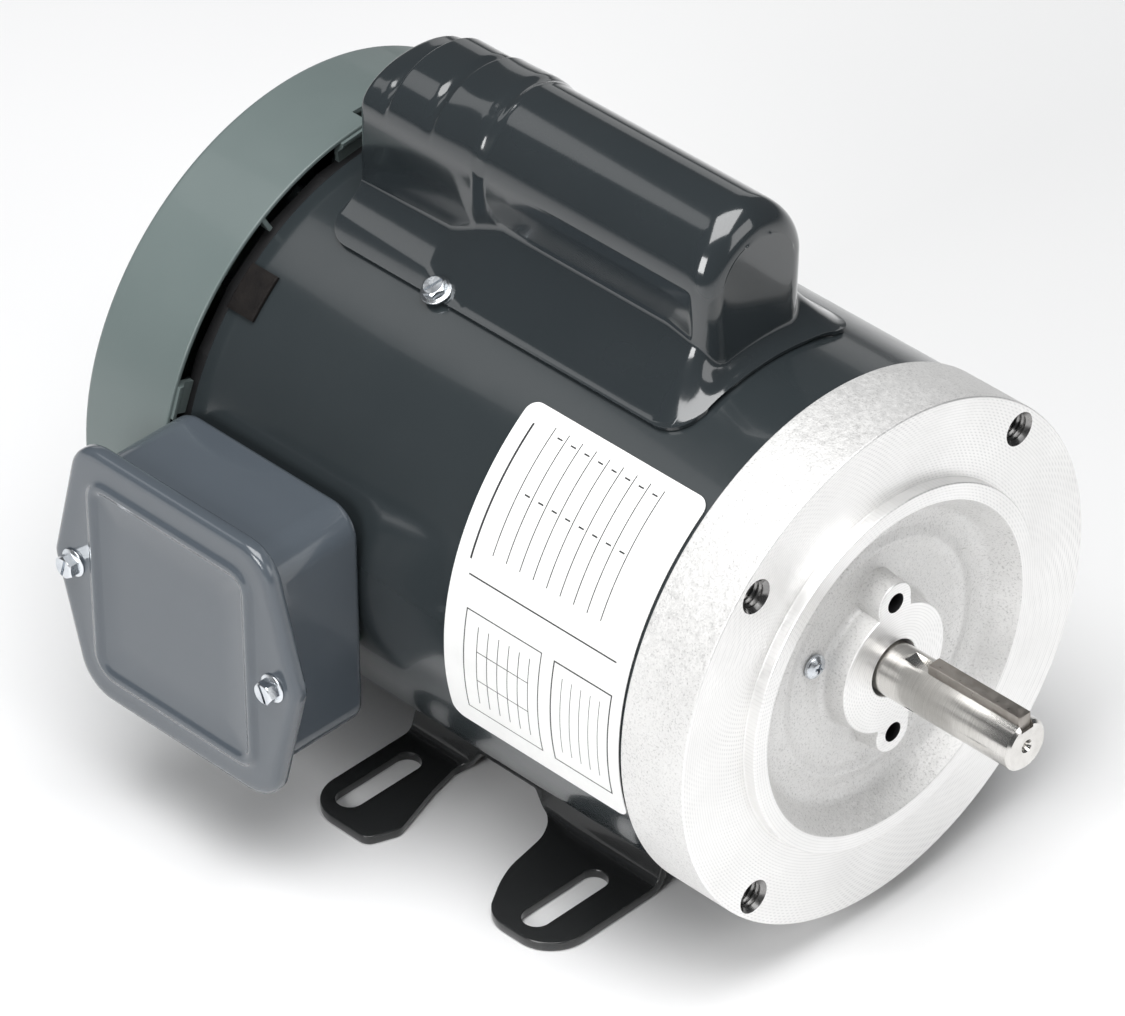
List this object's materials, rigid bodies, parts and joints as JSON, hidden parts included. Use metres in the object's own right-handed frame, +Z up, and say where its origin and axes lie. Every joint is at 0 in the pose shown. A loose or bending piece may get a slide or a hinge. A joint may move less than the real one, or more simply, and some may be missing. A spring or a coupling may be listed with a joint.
{
  "type": "electric motor",
  "caption": "Fan-cooled single-phase motor: round body, faced drive end with keyed shaft, slotted feet, conduit box on the side, capacitor cover on top.",
  "frame": {"origin": "centre of the fan cover's flat rear face, on the shaft axis", "axes": "+X along the shaft towards its keyed end, +Z up towards the capacitor cover, -Y towards the conduit box"},
  "size_m": [0.286, 0.2115, 0.2178],
  "materials": {
    "slate_paint": "semi-gloss dark grey paint",
    "fan_cover_paint": "satin grey-green paint",
    "black_paint": "gloss black paint",
    "cast_aluminium": "as-cast with machined faces",
    "dark_casting": "painted casting",
    "ground_steel": "ground",
    "spring_steel": "bright spring steel",
    "key_steel": "dull drawn steel",
    "zinc_plate": "bright zinc plate",
    "lamination_steel": "stacked electrical steel",
    "enamelled_copper": "varnished enamelled wire",
    "brass": "plain brass",
    "label_film": "printed film",
    "rubber": "matt",
    "phenolic": "moulded phenolic",
    "black_plastic": "moulded",
    "lead_black": "insulation",
    "lead_white": "insulation",
    "ground_green": "green passivated"
  },
  "bodies": {
    "frame": {"motor_shell": "slate_paint", "drive_end_bell": "cast_aluminium", "rear_end_bell": "dark_casting", "through_bolt_1": "zinc_plate", "through_bolt_2": "zinc_plate", "through_bolt_3": "zinc_plate", "through_bolt_4": "zinc_plate", "face_ground_screw": "zinc_plate", "motor_base": "black_paint", "nameplate": "label_film", "anti_rattle_pad": "rubber", "stator_core": "lamination_steel", "main_winding": "enamelled_copper", "start_winding": "enamelled_copper", "front_bearing_outer_race": "ground_steel", "rear_bearing_outer_race": "ground_steel", "bearing_wave_spring": "spring_steel", "switch_board": "phenolic", "switch_board_screw_1": "zinc_plate", "switch_board_screw_2": "zinc_plate", "fan_cover": "fan_cover_paint", "fan_cover_screw_1": "zinc_plate", "fan_cover_screw_2": "zinc_plate", "fan_cover_screw_3": "zinc_plate", "fan_cover_screw_4": "zinc_plate", "capacitor_cover": "slate_paint", "start_capacitor": "black_plastic", "capacitor_terminal_left": "brass", "capacitor_terminal_right": "brass", "capacitor_cover_screw_near": "zinc_plate", "capacitor_cover_screw_far": "zinc_plate", "conduit_box": "slate_paint", "conduit_box_cover": "slate_paint", "conduit_cover_gasket": "rubber", "conduit_cover_screw_rear": "zinc_plate", "conduit_cover_screw_front": "zinc_plate", "conduit_box_screw_rear": "zinc_plate", "conduit_box_screw_front": "zinc_plate", "conduit_box_ground_screw": "ground_green", "lead_bushing": "rubber", "line_lead_black": "lead_black", "line_lead_white": "lead_white"},
    "rotor": {"shaft": "ground_steel", "shaft_key": "key_steel", "rotor_laminations": "lamination_steel", "rotor_cage": "cast_aluminium", "front_bearing_inner_race": "ground_steel", "rear_bearing_inner_race": "ground_steel", "governor_base": "zinc_plate", "governor_spring_left": "spring_steel", "governor_spring_right": "spring_steel", "cooling_fan": "black_plastic", "fan_clamp": "spring_steel"},
    "front_ball_set": {"front_bearing_balls": "ground_steel"},
    "rear_ball_set": {"rear_bearing_balls": "ground_steel"},
    "upper_weight": {"governor_weight_upper": "zinc_plate"},
    "lower_weight": {"governor_weight_lower": "zinc_plate"},
    "spool": {"governor_spool": "phenolic"},
    "switch_arm": {"switch_arm": "brass"}
  },
  "joints": [
    {"name": "rotor_spin", "type": "hinge", "parent": "frame", "child": "rotor", "pos_m": [0.2336, 0, 0], "axis": [1, 0, 0], "continuous": true},
    {"name": "front_ball_orbit", "type": "hinge", "parent": "frame", "child": "front_ball_set", "pos_m": [0.2196, 0, 0], "axis": [1, 0, 0], "continuous": true},
    {"name": "rear_ball_orbit", "type": "hinge", "parent": "frame", "child": "rear_ball_set", "pos_m": [0.0416, 0, 0], "axis": [1, 0, 0], "continuous": true},
    {"name": "governor_slide", "type": "slide", "parent": "rotor", "child": "spool", "axis": [1, 0, 0], "range_m": [0, 0.003]},
    {"name": "upper_weight_swing", "type": "hinge", "parent": "rotor", "child": "upper_weight", "pos_m": [0.0776, 0, 0.021], "axis": [0, 1, 0], "range_deg": [0, 12]},
    {"name": "lower_weight_swing", "type": "hinge", "parent": "rotor", "child": "lower_weight", "pos_m": [0.0776, 0, -0.021], "axis": [0, -1, 0], "range_deg": [0, 12]},
    {"name": "switch_arm_swing", "type": "hinge", "parent": "frame", "child": "switch_arm", "pos_m": [0.0575, 0, 0.045], "axis": [0, -1, 0], "range_deg": [0, 3.8]}
  ],
  "couplings": [
    {"joint": "front_ball_orbit", "follows": "rotor_spin", "ratio": 0.3982},
    {"joint": "rear_ball_orbit", "follows": "rotor_spin", "ratio": 0.3982},
    {"joint": "upper_weight_swing", "follows": "governor_slide", "rad_per_m": 69.8},
    {"joint": "lower_weight_swing", "follows": "governor_slide", "rad_per_m": 69.8},
    {"joint": "switch_arm_swing", "follows": "governor_slide", "rad_per_m": 22.1}
  ]
}
